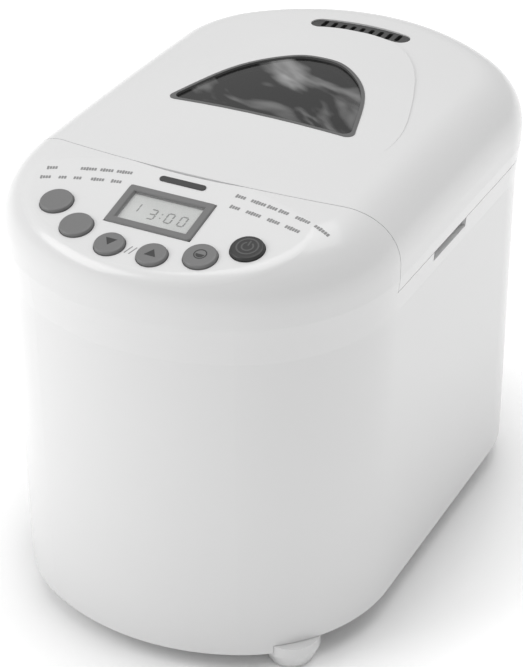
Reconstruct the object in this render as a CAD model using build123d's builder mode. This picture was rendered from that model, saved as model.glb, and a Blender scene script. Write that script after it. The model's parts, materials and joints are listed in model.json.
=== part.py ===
"""A domed household bread machine with a hinged lid, a lift-out pan and a belt-driven paddle.

Millimetres. +X is the machine's right, -Y its front with the control panel, +Z is up, and the
origin is on the table under the middle of the whole machine.
"""

from build123d import *
import os
from math import atan2, cos, degrees, radians, sin, sqrt

os.makedirs("parts", exist_ok=True)

# Case, seen from above: a wide arc at each end, tangent corner arcs, straight sides.
body_width = 240.0
body_depth = 361.0
hinge_overhang = 6.5  # how far the rear hinge barrel stands out behind the case
front_arc_r = 145.0
front_corner_r = 100.0
rear_arc_r = 150.0
rear_corner_r = 75.0

# Case, seen from the side.
skirt_z = 12.0  # lower edge of the casing across the front
shell_bottom_z = 17.5  # lower edge of the casing at its sides and rear
seam_z = 227.5  # top of the lower casing; the domed cap starts here
crown_z = 284.0
crown_side_r = 900.0  # curvature of the dome across the machine
crown_long_r = 4000.0  # curvature of the dome along the machine
shoulder_r = 34.0
body_inset = 2.2  # the lower casing stands this far inside the cap
collar_inset = 1.0
collar_height = 14.0
cap_roll_height = 9.0
wall = 3.0
cap_wall = 2.8
seam_gap = 0.5  # between the lid and the control housing
lid_lift = 0.45  # gap under the closed lid

# Feet.
foot_low_r = 13.3
foot_high_r = 17.4
foot_cone_z = 10.0  # the foot widens up to here and is straight above it
foot_low_z = 0.6
pad_r = 9.0
pad_height = 3.6

# Tilted control panel.
panel_tilt = 12.9
panel_thickness = 1.6
panel_land = 5.6  # border of the housing left round the panel
panel_edge_r = 10.0  # rounding where the panel slope meets the front
housing_top = 3.2

# Heating chamber and bread pan.
chamber_width = 180.0
chamber_depth = 200.0
chamber_corner_r = 28.0
chamber_floor_z = 72.5
sheet = 1.2
pan_width = 150.0
pan_depth = 166.0
pan_corner_r = 26.0
pan_floor_z = 84.5
pan_rim_z = 215.5
pan_wall = 1.6

# Drive.
large_pulley_r = 55.0
small_pulley_r = 10.0
belt_thickness = 2.0
belt_width = 8.0
belt_gap = 0.3  # between the belt and each pulley
pulley_z = 34.5
pulley_height = 12.0
drive_shaft_r = 4.0
motor_shaft_r = 3.0
shaft_gap = 0.05  # running clearance, on the radius
motor_r = 35.0
motor_height = 72.0
chassis_z = 54.5
chassis_thickness = 2.0

# Places worked out from the sizes above.
front_y = -(body_depth + hinge_overhang) / 2
rear_y = front_y + body_depth
middle_y = (front_y + rear_y) / 2
chamber_y = middle_y + 30.0
motor_y = middle_y - 125.0
hinge_r = 5.0
hinge_y = rear_y + hinge_overhang - hinge_r
hinge_z = seam_z
knuckle_half = 12.0  # half length of the casing's hinge knuckle
barrel_half = 32.0  # half length of the whole hinge barrel
front_arc_y = front_y + front_arc_r
front_corner_x = body_width / 2 - front_corner_r
front_corner_y = front_arc_y - sqrt((front_arc_r - front_corner_r) ** 2 - front_corner_x**2)
rear_arc_y = rear_y - rear_arc_r
rear_corner_x = body_width / 2 - rear_corner_r
rear_corner_y = rear_arc_y + sqrt((rear_arc_r - rear_corner_r) ** 2 - rear_corner_x**2)
front_sweep = degrees(atan2(front_corner_x, front_arc_y - front_corner_y))
rear_sweep = degrees(atan2(rear_corner_x, rear_corner_y - rear_arc_y))

# The lid meets the control housing along an arc that bows towards the front.
lid_front_y = front_y + 83.5
lid_corner_y = front_y + 104.5
lid_bow = lid_corner_y - lid_front_y
lid_arc_r = ((body_width / 2) ** 2 + lid_bow**2) / (2 * lid_bow)
lid_arc_y = lid_front_y + lid_arc_r
housing_arc_r = lid_arc_r + seam_gap / 2

panel = Plane(
    origin=(0, front_y + 51.0, crown_z - 9.6),
    x_dir=(1, 0, 0),
    z_dir=(0, -sin(radians(panel_tilt)), cos(radians(panel_tilt))),
)
panel_axis = Axis(origin=panel.origin, direction=panel.z_dir)

# Buttons on the panel, from left to right: across, up the slope, radius.
buttons = {
    "menu_button": (-59.4, -11.2, 9.5),
    "crust_button": (-38.4, -25.2, 9.5),
    "timer_down_button": (-13.1, -32.8, 8.7),
    "timer_up_button": (13.1, -32.8, 8.7),
    "size_button": (38.4, -25.2, 9.5),
    "start_button": (59.4, -11.2, 9.5),
}
button_travel = 1.5
button_gap = 0.4
button_proud = 2.2
flange_top = 4.6
flange_bottom = 6.0
stem_end = 9.6
switch_top = stem_end + button_travel + 0.3
board_top = 15.9
board_thickness = 1.6

display_width = 53.9
display_depth = 31.9
display_opening_width = 44.0
display_opening_depth = 22.5


def case_plan(inset):
    """The case's outline seen from above, moved in by inset."""
    side = body_width / 2 - inset
    with BuildSketch() as plan:
        with BuildLine():
            CenterArc((0, front_arc_y), front_arc_r - inset, 270 - front_sweep, 2 * front_sweep)
            Line((side, front_corner_y), (side, rear_corner_y))
            CenterArc((0, rear_arc_y), rear_arc_r - inset, 90 - rear_sweep, 2 * rear_sweep)
            Line((-side, rear_corner_y), (-side, front_corner_y))
            for x, start_front, start_rear in (
                (1, 270 + front_sweep, 0),
                (-1, 180, 90 + rear_sweep),
            ):
                CenterArc(
                    (x * front_corner_x, front_corner_y),
                    front_corner_r - inset,
                    start_front,
                    90 - front_sweep,
                )
                CenterArc(
                    (x * rear_corner_x, rear_corner_y),
                    rear_corner_r - inset,
                    start_rear,
                    90 - rear_sweep,
                )
        make_face()
    return plan.sketch


def dome(drop, rise=0.0):
    """A solid under the crowned top surface, lowered by drop and raised by rise at its rear."""
    reach = 150.0
    sag = reach**2 / 2 / crown_side_r
    top = crown_z - drop
    hub = Plane(origin=(0, middle_y, top - crown_long_r), x_dir=(1, 0, 0), z_dir=(0, -1, 0))
    half_turn = 4.0
    with BuildPart() as crowned:
        with BuildSketch(hub.rotated((-half_turn, 0, 0))):
            with BuildLine():
                arc = ThreePointArc(
                    (-reach, crown_long_r - sag), (0, crown_long_r), (reach, crown_long_r - sag)
                )
                Polyline(
                    arc @ 0, (-reach, crown_long_r - 200), (reach, crown_long_r - 200), arc @ 1
                )
            make_face()
        revolve(
            axis=Axis((0, middle_y, top - crown_long_r), (1, 0, 0)),
            revolution_arc=2 * half_turn,
        )
    tilt_axis = Axis((0, lid_front_y + 75.0, crown_z), (1, 0, 0))
    tilt_run = 140.0
    return crowned.part.rotate(tilt_axis, degrees(atan2(rise, tilt_run)))


def cap(inset, drop):
    """The whole domed cap above the seam, moved in by inset and down by drop.

    Its wall draws in by collar_inset towards the seam.
    """
    with BuildPart() as whole:
        with BuildSketch(Plane.XY.offset(seam_z)):
            add(case_plan(inset + collar_inset))
        with BuildSketch(Plane.XY.offset(seam_z + cap_roll_height)):
            add(case_plan(inset))
        loft(ruled=True)
        with BuildSketch(Plane.XY.offset(seam_z + cap_roll_height)):
            add(case_plan(inset))
        extrude(amount=60)
        add(dome(drop), mode=Mode.INTERSECT)
        fillet(whole.faces().sort_by(Axis.Z)[-1].edges(), shoulder_r - inset)
    return whole.part


def front_cap(inset, drop, arc_r, panel_drop):
    """The cap in front of the lid's arc and under the tilted panel plane."""
    with BuildPart() as front:
        add(cap(inset, drop))
        with BuildSketch(Plane.XY.offset(seam_z - 1)):
            with Locations((0, lid_arc_y)):
                Circle(arc_r)
        extrude(amount=80, mode=Mode.SUBTRACT)
        split(bisect_by=panel.offset(-panel_drop), keep=Keep.BOTTOM)
    return front.part


def rounded_front_cap():
    """The control housing's outside, with its panel slope rounded into the front."""
    with BuildPart() as front:
        add(cap(0, 0))
        split(bisect_by=panel, keep=Keep.BOTTOM)
        slope = front.faces().filter_by(lambda face: abs(face.normal_at().dot(panel.z_dir) - 1) < 1e-6)
        front_edges = [
            edge
            for edge in slope.sort_by(SortBy.AREA)[-1].edges()
            if edge.center().Y < lid_front_y
        ]
        fillet(front_edges, panel_edge_r)
        with BuildSketch(Plane.XY.offset(seam_z - 1)):
            with Locations((0, lid_arc_y)):
                Circle(housing_arc_r)
        extrude(amount=80, mode=Mode.SUBTRACT)
    return front.part


def rear_cap(inset, drop, arc_r):
    """The cap behind the lid's arc."""
    with BuildPart() as rear:
        add(cap(inset, drop))
        with BuildSketch(Plane.XY.offset(seam_z - 1)):
            with Locations((0, lid_arc_y)):
                Circle(arc_r)
        extrude(amount=80, mode=Mode.INTERSECT)
    return rear.part


def window_outline(inset):
    """The lid window: a straight front edge and a narrowing arch behind it, moved in by inset."""
    base_y = lid_front_y + 81.0
    half_width = 62.0
    arch_depth = 88.0
    lean = 0.3  # how fast the sides draw in at the front edge
    ends = ((-lean, 1.0), (-1.0, 0))
    with BuildSketch() as outline:
        with BuildLine():
            arch = Spline(
                (half_width, base_y),
                (49.5, base_y + 41.0),
                (38.0, base_y + 64.0),
                (20.0, base_y + 82.0),
                (0, base_y + arch_depth),
                tangents=ends,
                mode=Mode.PRIVATE,
            )
            start_x = half_width - (sqrt(1 + lean**2) + lean) * inset
            points = [(start_x, base_y + inset)]
            for share in (0.3, 0.5, 0.7, 0.85):
                heading = arch % share
                points.append(arch @ share + inset * Vector(-heading.Y, heading.X))
            points.append((0, base_y + arch_depth - inset))
            Spline(*points, tangents=ends)
            mirror(about=Plane.YZ)
            Line((-start_x, base_y + inset), (start_x, base_y + inset))
        make_face()
        fillet(outline.vertices().group_by(Axis.Y)[0], 5.0)
    return outline.sketch


def vent_outline(inset):
    """The curved steam vent at the rear of the lid."""
    vent_bow_r = 130.0
    half_sweep = 12.0
    bow_y = middle_y + 128.0 - vent_bow_r
    spine = CenterArc((0, bow_y), vent_bow_r, 90 - half_sweep, 2 * half_sweep)
    with BuildSketch() as outline:
        SlotArc(spine, 14.0 - 2 * inset)
    return outline.sketch


def tub(width, depth, corner_r, floor_z, rim_z, thickness, lip):
    """An open sheet-metal tub with a flat lip round its mouth."""
    with BuildPart() as vessel:
        with BuildSketch(Plane.XY.offset(floor_z)):
            with Locations((0, chamber_y)):
                RectangleRounded(width, depth, corner_r)
        extrude(amount=rim_z - floor_z)
        with BuildSketch(Plane.XY.offset(rim_z - thickness)):
            with Locations((0, chamber_y)):
                RectangleRounded(width + 2 * lip, depth + 2 * lip, corner_r + lip)
        extrude(amount=thickness)
        with BuildSketch(Plane.XY.offset(floor_z + thickness)):
            with Locations((0, chamber_y)):
                RectangleRounded(
                    width - 2 * thickness, depth - 2 * thickness, corner_r - thickness
                )
        extrude(amount=rim_z - floor_z, mode=Mode.SUBTRACT)
    return vessel.part


def outer_shell_block():
    """The lower casing as one solid block, flared out to the seam."""
    with BuildPart() as block:
        with BuildSketch(Plane.XY.offset(skirt_z)):
            add(case_plan(body_inset))
        extrude(amount=seam_z - collar_height - skirt_z)
        with BuildSketch(Plane.XY.offset(seam_z - collar_height)):
            add(case_plan(body_inset))
        with BuildSketch(Plane.XY.offset(seam_z)):
            add(case_plan(collar_inset))
        loft(ruled=True)
    return block.part


# ---------------------------------------------------------------- casing
front_foot_y = middle_y - 135.4
foot_places = [
    (83.0, front_foot_y),
    (-78.0, front_foot_y + 10.0),
    (82.0, middle_y + 124.0),
    (-82.0, middle_y + 124.0),
]
recess_length = 47.0
recess_depth = 6.0
vent_z = 80.5
gland_x = 62.0
gland_z = 38.5
gland_r = 8.0
with BuildPart() as outer_shell:
    add(outer_shell_block())
    with BuildSketch(Plane.XY.offset(skirt_z)):
        add(case_plan(body_inset + wall))
    extrude(amount=seam_z, mode=Mode.SUBTRACT)
    # behind the front feet the lower edge steps up
    with BuildSketch(Plane.XY.offset(skirt_z)):
        with Locations((0, front_foot_y + body_depth / 2)):
            Rectangle(body_width, body_depth)
        with Locations(*foot_places):
            Circle(foot_high_r + 0.3)
    extrude(amount=shell_bottom_z - skirt_z, mode=Mode.SUBTRACT)
    # finger recess in each side, just under the lid
    with BuildSketch(Plane.XZ.offset(-(middle_y + 21.0))):
        with Locations((0, seam_z)):
            RectangleRounded(body_width + 10, 2 * recess_depth, 4.0)
    extrude(amount=recess_length, mode=Mode.SUBTRACT)
    # slots for cooling air in the rear wall
    with BuildSketch(Plane.XZ.offset(-rear_y)):
        with Locations((0, vent_z)):
            with GridLocations(8.0, 0, 7, 1):
                SlotOverall(34.0, 3.0, rotation=90)
    extrude(amount=20.0, mode=Mode.SUBTRACT)
    # round hole for the cord gland
    with BuildSketch(Plane.XZ.offset(-rear_y)):
        with Locations((gland_x, gland_z)):
            Circle(gland_r)
    extrude(amount=40.0, mode=Mode.SUBTRACT)
    # room for the hinge barrel
    with BuildSketch(Plane.YZ.offset(-barrel_half - 0.8)):
        with Locations((hinge_y, hinge_z)):
            Circle(hinge_r + 0.8)
    extrude(amount=2 * barrel_half + 1.6, mode=Mode.SUBTRACT)
outer_shell.part.label = "outer_shell"
export_step(outer_shell.part, "parts/outer_shell.step")

base_z = shell_bottom_z - 3.0
post_places = [(x * 78.0, middle_y + y) for y in (-70.0, 118.0) for x in (-1, 1)]
with BuildPart() as base_plate:
    with BuildSketch(Plane.XY.offset(base_z)):
        add(case_plan(body_inset + wall + 0.3))
    extrude(amount=3.0)
    with BuildSketch(Plane.XY.offset(shell_bottom_z)):
        add(case_plan(body_inset + wall + 0.3))
        add(case_plan(body_inset + wall + 2.8), mode=Mode.SUBTRACT)
    extrude(amount=8.0)
    # moulded feet
    with BuildSketch(Plane.XY.offset(foot_low_z)):
        with Locations(*foot_places):
            Circle(foot_low_r)
    widening = degrees(atan2(foot_high_r - foot_low_r, foot_cone_z - foot_low_z))
    extrude(amount=foot_cone_z - foot_low_z, taper=-widening)
    with BuildSketch(Plane.XY.offset(foot_cone_z)):
        with Locations(*foot_places):
            Circle(foot_high_r)
    extrude(amount=shell_bottom_z - 0.3 - foot_cone_z)
    with BuildSketch(Plane.XY.offset(foot_low_z)):
        with Locations(*foot_places):
            Circle(pad_r)
    extrude(amount=pad_height - foot_low_z, mode=Mode.SUBTRACT)
    # bosses that carry the chassis
    with BuildSketch(Plane.XY.offset(shell_bottom_z)):
        with Locations(*post_places):
            Circle(7.0)
    extrude(amount=chassis_z - shell_bottom_z)
    with BuildSketch(Plane.XY.offset(base_z)):
        with Locations((0, chamber_y)):
            with GridLocations(12.0, 0, 5, 1):
                SlotOverall(60.0, 3.6, rotation=90)
    extrude(amount=3.0, mode=Mode.SUBTRACT)
base_plate.part.label = "base_plate"
export_step(base_plate.part, "parts/base_plate.step")

with BuildPart() as foot_pads:
    with BuildSketch():
        with Locations(*foot_places):
            Circle(pad_r)
    extrude(amount=pad_height)
    fillet(foot_pads.faces().group_by(Axis.Z)[0].edges(), 0.4)
foot_pads.part.label = "foot_pads"
export_step(foot_pads.part, "parts/foot_pads.step")

deck_bottom = seam_z - 4.1
deck_top = seam_z - 0.1
with BuildPart() as deck_frame:
    with BuildSketch(Plane.XY.offset(deck_bottom)):
        add(case_plan(body_inset + wall + 0.4))
        with Locations((0, lid_arc_y)):
            Circle(lid_arc_r + 6.0, mode=Mode.INTERSECT)
    extrude(amount=deck_top - deck_bottom)
    # backs of the finger recesses
    with BuildSketch(Plane.XY.offset(deck_bottom - 9.0)):
        with Locations((-112.2, middle_y - 2.5), (112.2, middle_y - 2.5)):
            Rectangle(4.0, recess_length + 13.0)
    extrude(amount=9.0)
    with BuildSketch(Plane.XY.offset(deck_bottom - 10)):
        with Locations((0, chamber_y)):
            RectangleRounded(
                chamber_width - 2 * sheet, chamber_depth - 2 * sheet, chamber_corner_r - sheet
            )
    extrude(amount=20, mode=Mode.SUBTRACT)
deck_frame.part.label = "deck_frame"
export_step(deck_frame.part, "parts/deck_frame.step")

# ---------------------------------------------------------------- control panel

def panel_holes(depth):
    """Cutter for the display and button openings, down to depth under the panel plane."""
    with BuildPart() as cutter:
        with BuildSketch(panel.offset(2.0)):
            Rectangle(display_width + 0.2, display_depth + 0.2)
            for across, slope, radius in buttons.values():
                with Locations((across, slope)):
                    Circle(radius + button_gap)
        extrude(amount=-(2.0 + depth))
    return cutter.part


def panel_solid():
    """The crescent panel plate, which also shapes its pocket in the housing."""
    with BuildPart() as plate:
        add(front_cap(panel_land, 0.4, housing_arc_r + panel_land, 0))
        split(bisect_by=panel.offset(-panel_thickness), keep=Keep.TOP)
    return plate.part


with BuildPart() as control_housing:
    add(rounded_front_cap())
    add(front_cap(cap_wall, cap_wall, housing_arc_r + cap_wall, housing_top), mode=Mode.SUBTRACT)
    add(panel_solid(), mode=Mode.SUBTRACT)
    add(panel_holes(housing_top + 1.0), mode=Mode.SUBTRACT)
control_housing.part.label = "control_housing"
export_step(control_housing.part, "parts/control_housing.step")

with BuildPart() as control_panel:
    add(panel_solid())
    add(panel_holes(housing_top + 1.0), mode=Mode.SUBTRACT)
control_panel.part.label = "control_panel"
export_step(control_panel.part, "parts/control_panel.step")

with BuildPart() as lcd_frame:
    with BuildSketch(panel.offset(-4.0)):
        RectangleRounded(display_width, display_depth, 2.0)
        Rectangle(display_opening_width, display_opening_depth, mode=Mode.SUBTRACT)
    extrude(amount=5.0)
    chamfer(lcd_frame.edges().group_by(panel_axis)[-1], 0.6)
lcd_frame.part.label = "lcd_frame"
export_step(lcd_frame.part, "parts/lcd_frame.step")

with BuildPart() as lcd_module:
    with BuildSketch(panel.offset(-8.0)):
        Rectangle(50.0, 29.0)
    extrude(amount=3.9)
    with BuildSketch(panel.offset(-4.1)):
        Rectangle(display_opening_width - 0.4, display_opening_depth - 0.4)
    extrude(amount=2.8)
lcd_module.part.label = "lcd_module"
export_step(lcd_module.part, "parts/lcd_module.step")

with BuildPart() as lcd_window:
    with BuildSketch(panel.offset(-1.2)):
        Rectangle(display_opening_width - 0.1, display_opening_depth - 0.1)
    extrude(amount=1.2)
lcd_window.part.label = "lcd_window"
export_step(lcd_window.part, "parts/lcd_window.step")

badge_slope = 26.2
with BuildPart() as panel_badge:
    with BuildSketch(panel):
        with Locations((0, badge_slope)):
            SlotOverall(29.0, 4.2)
    extrude(amount=0.5)
panel_badge.part.label = "panel_badge"
export_step(panel_badge.part, "parts/panel_badge.step")

for button_name, (across, slope, radius) in buttons.items():
    with BuildPart() as button:
        with BuildSketch(panel.offset(-flange_bottom)):
            with Locations((across, slope)):
                Circle(radius)
        extrude(amount=flange_bottom + button_proud)
        fillet(button.edges().group_by(panel_axis)[-1], 1.4)
        with BuildSketch(panel.offset(-flange_bottom)):
            with Locations((across, slope)):
                Circle(radius + 1.6)
        extrude(amount=flange_bottom - flange_top)
        with BuildSketch(panel.offset(-stem_end)):
            with Locations((across, slope)):
                Circle(2.5)
        extrude(amount=stem_end - flange_bottom)
    button.part.label = button_name
    export_step(button.part, f"parts/{button_name}.step")

button_places = [(across, slope) for across, slope, radius in buttons.values()]
with BuildPart() as tact_switches:
    with BuildSketch(panel.offset(-board_top)):
        with Locations(*button_places):
            Rectangle(6.0, 6.0)
    extrude(amount=board_top - switch_top - 1.2)
    with BuildSketch(panel.offset(-switch_top - 1.2)):
        with Locations(*button_places):
            Circle(1.75)
    extrude(amount=1.2)
tact_switches.part.label = "tact_switches"
export_step(tact_switches.part, "parts/tact_switches.step")

with BuildPart() as control_board:
    with BuildSketch(panel.offset(-board_top - board_thickness)):
        with BuildLine():
            Polyline(
                (-72, 12), (72, 12), (72, -16), (46, -36), (-46, -36), (-72, -16), close=True
            )
        make_face()
    extrude(amount=board_thickness)
    with BuildSketch(panel.offset(-board_top)):
        Rectangle(50.0, 16.0)
    extrude(amount=3.0)
control_board.part.label = "control_board"
export_step(control_board.part, "parts/control_board.step")

# ---------------------------------------------------------------- lid
lid_front_r = lid_arc_r - seam_gap / 2
lid_bottom_z = seam_z + lid_lift
lid_slice_z = crown_z - 23.5  # openings are cut through the lid's top from here up
plateau_rise = 1.3

with BuildPart() as plateau:
    with BuildSketch(Plane.XY.offset(crown_z - 18.5)):
        with BuildLine():
            side = Spline(
                (80, middle_y - 30),
                (83, middle_y + 1),
                (73, middle_y + 41),
                (58, middle_y + 79),
                (42, middle_y + 103),
                (26, middle_y + 115),
            )
            Line(side @ 0, (0, middle_y - 30))
            ThreePointArc(side @ 1, (14, middle_y + 118.2), (0, middle_y + 119))
            mirror(about=Plane.YZ)
        make_face()
    extrude(amount=50)
    add(dome(0, plateau_rise), mode=Mode.INTERSECT)

with BuildPart() as lid_shell:
    add(rear_cap(0, 0, lid_front_r))
    add(plateau.part)
    add(rear_cap(cap_wall, cap_wall, lid_front_r - cap_wall), mode=Mode.SUBTRACT)
    split(bisect_by=Plane.XY.offset(lid_bottom_z), keep=Keep.TOP)
    with BuildSketch(Plane.XY.offset(lid_slice_z)):
        add(window_outline(0))
        add(vent_outline(0))
    extrude(amount=50, mode=Mode.SUBTRACT)
    # room for the casing's hinge knuckle
    with BuildSketch(Plane.YZ.offset(-knuckle_half - 0.3)):
        with Locations((hinge_y, hinge_z)):
            Circle(hinge_r + 1.0)
    extrude(amount=2 * knuckle_half + 0.6, mode=Mode.SUBTRACT)
    with BuildSketch(Plane.YZ.offset(-barrel_half - 0.3)):
        with Locations((hinge_y, hinge_z)):
            Circle(hinge_r + 0.3)
    extrude(amount=2 * barrel_half + 0.6, mode=Mode.SUBTRACT)
lid_shell.part.label = "lid_shell"
export_step(lid_shell.part, "parts/lid_shell.step")

rim_width = 2.2
glass_drop = 1.2
glass_thickness = 2.4
rim_depth = glass_drop + glass_thickness
with BuildPart() as window_rim:
    with BuildSketch(Plane.XY.offset(lid_slice_z)):
        add(window_outline(0))
        add(window_outline(rim_width), mode=Mode.SUBTRACT)
    extrude(amount=50)
    add(dome(-0.3, plateau_rise), mode=Mode.INTERSECT)
    add(dome(rim_depth, plateau_rise), mode=Mode.SUBTRACT)
window_rim.part.label = "window_rim"
export_step(window_rim.part, "parts/window_rim.step")

with BuildPart() as window_glass:
    with BuildSketch(Plane.XY.offset(lid_slice_z)):
        add(window_outline(rim_width))
    extrude(amount=50)
    add(dome(glass_drop, plateau_rise), mode=Mode.INTERSECT)
    add(dome(rim_depth, plateau_rise), mode=Mode.SUBTRACT)
window_glass.part.label = "window_glass"
export_step(window_glass.part, "parts/window_glass.step")

with BuildPart() as window_gasket:
    with BuildSketch(Plane.XY.offset(lid_slice_z)):
        add(window_outline(0.5))
        add(window_outline(rim_width + 4.0), mode=Mode.SUBTRACT)
    extrude(amount=50)
    add(dome(rim_depth, plateau_rise), mode=Mode.INTERSECT)
    add(dome(rim_depth + 1.6, plateau_rise), mode=Mode.SUBTRACT)
window_gasket.part.label = "window_gasket"
export_step(window_gasket.part, "parts/window_gasket.step")

vent_slots = 9
vent_top_z = crown_z - 3.4
with BuildPart() as vent_grille:
    with BuildSketch(Plane.XY.offset(vent_top_z - 3.0)):
        add(vent_outline(0))
        with Locations((0, middle_y + 127.0)):
            with GridLocations(6.4, 0, vent_slots, 1):
                SlotOverall(9.0, 3.0, rotation=90, mode=Mode.SUBTRACT)
    extrude(amount=3.0)
vent_grille.part.label = "vent_grille"
export_step(vent_grille.part, "parts/vent_grille.step")

liner_bottom_z = seam_z + 2.0
liner_top_z = liner_bottom_z + 1.4
liner_arc_r = lid_front_r - cap_wall - 1.0
collar_wall = 1.4
with BuildPart() as lid_liner:
    with BuildSketch(Plane.XY.offset(liner_bottom_z)):
        add(case_plan(cap_wall + collar_inset + 0.6))
        with Locations((0, lid_arc_y)):
            Circle(liner_arc_r, mode=Mode.INTERSECT)
        add(window_outline(10.0), mode=Mode.SUBTRACT)
    extrude(amount=liner_top_z - liner_bottom_z)
    # light well from the liner up to the window
    with BuildSketch(Plane.XY.offset(liner_bottom_z)):
        add(window_outline(10.0 - collar_wall))
        add(window_outline(10.0), mode=Mode.SUBTRACT)
    extrude(amount=40.0)
    with BuildSketch(Plane.XY.offset(liner_bottom_z)):
        with Locations((0, middle_y + 118.0)):
            with GridLocations(9.0, 8.0, 7, 2):
                Circle(1.8)
    extrude(amount=2.0, mode=Mode.SUBTRACT)
    # knuckle of the casing swings inside this clearance
    with BuildSketch(Plane.YZ.offset(-knuckle_half - 0.3)):
        with Locations((hinge_y, hinge_z)):
            Circle(hinge_r + 1.0)
    extrude(amount=2 * knuckle_half + 0.6, mode=Mode.SUBTRACT)
lid_liner.part.label = "lid_liner"
export_step(lid_liner.part, "parts/lid_liner.step")

seal_width = 4.0
with BuildPart() as lid_seal:
    with BuildSketch(Plane.XY.offset(deck_top + 0.3)):
        with Locations((0, chamber_y)):
            RectangleRounded(chamber_width + 12, chamber_depth + 12, chamber_corner_r + 6)
            RectangleRounded(
                chamber_width + 12 - 2 * seal_width,
                chamber_depth + 12 - 2 * seal_width,
                chamber_corner_r + 6 - seal_width,
                mode=Mode.SUBTRACT,
            )
    extrude(amount=liner_bottom_z - deck_top - 0.3)
lid_seal.part.label = "lid_seal"
export_step(lid_seal.part, "parts/lid_seal.step")

liner_screw_places = [(x, middle_y + y) for x, y in ((-98, -54), (98, -54), (-100, 100), (100, 100))]
with BuildPart() as liner_screws:
    with BuildSketch(Plane.XY.offset(liner_bottom_z - 1.6)):
        with Locations(*liner_screw_places):
            Circle(3.2)
    extrude(amount=1.6)
liner_screws.part.label = "liner_screws"
export_step(liner_screws.part, "parts/liner_screws.step")

# ---------------------------------------------------------------- hinge
pin_r = 2.0


def barrel(start, length):
    """One hinge knuckle round the hinge axis."""
    with BuildPart() as knuckle:
        with BuildSketch(Plane.YZ.offset(start)):
            with Locations((hinge_y, hinge_z)):
                Circle(hinge_r)
        extrude(amount=length)
    return knuckle.part


def hinge_leaf(start, length, low_z, high_z):
    """A block that joins a knuckle to the rear wall beside it."""
    with BuildPart() as leaf:
        with BuildSketch(Plane.XY.offset(low_z)):
            with Locations((start + length / 2, hinge_y - 8.0)):
                Rectangle(length, 16.0 + 2 * hinge_r - 2.0)
        extrude(amount=high_z - low_z)
    return leaf.part


with BuildPart() as hinge_bracket:
    add(hinge_leaf(-knuckle_half, 2 * knuckle_half, hinge_z - 22.0, hinge_z - 2.0))
    add(outer_shell_block(), mode=Mode.SUBTRACT)
    add(barrel(-knuckle_half, 2 * knuckle_half))
    with BuildSketch(Plane.YZ.offset(-knuckle_half)):
        with Locations((hinge_y, hinge_z)):
            Circle(pin_r + shaft_gap)
    extrude(amount=2 * knuckle_half, mode=Mode.SUBTRACT)
hinge_bracket.part.label = "hinge_bracket"
export_step(hinge_bracket.part, "parts/hinge_bracket.step")

with BuildPart() as lid_knuckles:
    for start in (-barrel_half, knuckle_half + 0.3):
        length = barrel_half - knuckle_half - 0.3
        add(hinge_leaf(start, length, hinge_z + lid_lift, hinge_z + 12.0))
    with BuildSketch(Plane.XY.offset(seam_z + cap_roll_height)):
        add(case_plan(0))
    extrude(amount=20, mode=Mode.SUBTRACT)
    with BuildSketch(Plane.XY.offset(seam_z)):
        add(case_plan(collar_inset))
    with BuildSketch(Plane.XY.offset(seam_z + cap_roll_height)):
        add(case_plan(0))
    loft(ruled=True, mode=Mode.SUBTRACT)
    for start in (-barrel_half, knuckle_half + 0.3):
        add(barrel(start, barrel_half - knuckle_half - 0.3))
    with BuildSketch(Plane.YZ.offset(-barrel_half)):
        with Locations((hinge_y, hinge_z)):
            Circle(pin_r)
    extrude(amount=2 * barrel_half, mode=Mode.SUBTRACT)
lid_knuckles.part.label = "lid_knuckles"
export_step(lid_knuckles.part, "parts/lid_knuckles.step")

with BuildPart() as hinge_pin:
    with BuildSketch(Plane.YZ.offset(-barrel_half)):
        with Locations((hinge_y, hinge_z)):
            Circle(pin_r)
    extrude(amount=2 * barrel_half)
hinge_pin.part.label = "hinge_pin"
export_step(hinge_pin.part, "parts/hinge_pin.step")

# ---------------------------------------------------------------- chamber
element_r = 3.2
element_z = 94.5
element_width = chamber_width - 19.0
element_depth = chamber_depth - 19.0
terminal_x = 15.0
drive_hole_r = 22.0
chamber_rim_z = deck_bottom
sensor_z = 130.5
sensor_r = 3.0
with BuildPart() as oven_chamber:
    add(tub(chamber_width, chamber_depth, chamber_corner_r, chamber_floor_z, chamber_rim_z, sheet, 7.0))
    with BuildSketch(Plane.XY.offset(chamber_floor_z)):
        with Locations((0, chamber_y)):
            Circle(drive_hole_r)
    extrude(amount=sheet, mode=Mode.SUBTRACT)
    with BuildSketch(Plane.XZ.offset(-(chamber_y - chamber_depth / 2 + 5))):
        with Locations((-terminal_x, element_z), (terminal_x, element_z)):
            Circle(element_r + 0.05)
    extrude(amount=10, mode=Mode.SUBTRACT)
    with BuildSketch(Plane.YZ.offset(chamber_width / 2 - 5)):
        with Locations((chamber_y, sensor_z)):
            Circle(sensor_r + 0.05)
    extrude(amount=10, mode=Mode.SUBTRACT)
oven_chamber.part.label = "oven_chamber"
export_step(oven_chamber.part, "parts/oven_chamber.step")

with BuildPart() as heating_element:
    near = chamber_y - element_depth / 2
    far = chamber_y + element_depth / 2
    half = element_width / 2
    tail = chamber_y - chamber_depth / 2 - 12.0
    with BuildLine():
        FilletPolyline(
            (terminal_x, tail, element_z),
            (terminal_x, near, element_z),
            (half, near, element_z),
            (half, far, element_z),
            (-half, far, element_z),
            (-half, near, element_z),
            (-terminal_x, near, element_z),
            (-terminal_x, tail, element_z),
            radius=[7.0, 20.0, 20.0, 20.0, 20.0, 7.0],
        )
    with BuildSketch(Plane.XZ.offset(-tail)):
        with Locations((terminal_x, element_z)):
            Circle(element_r)
    sweep()
heating_element.part.label = "heating_element"
export_step(heating_element.part, "parts/heating_element.step")

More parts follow.
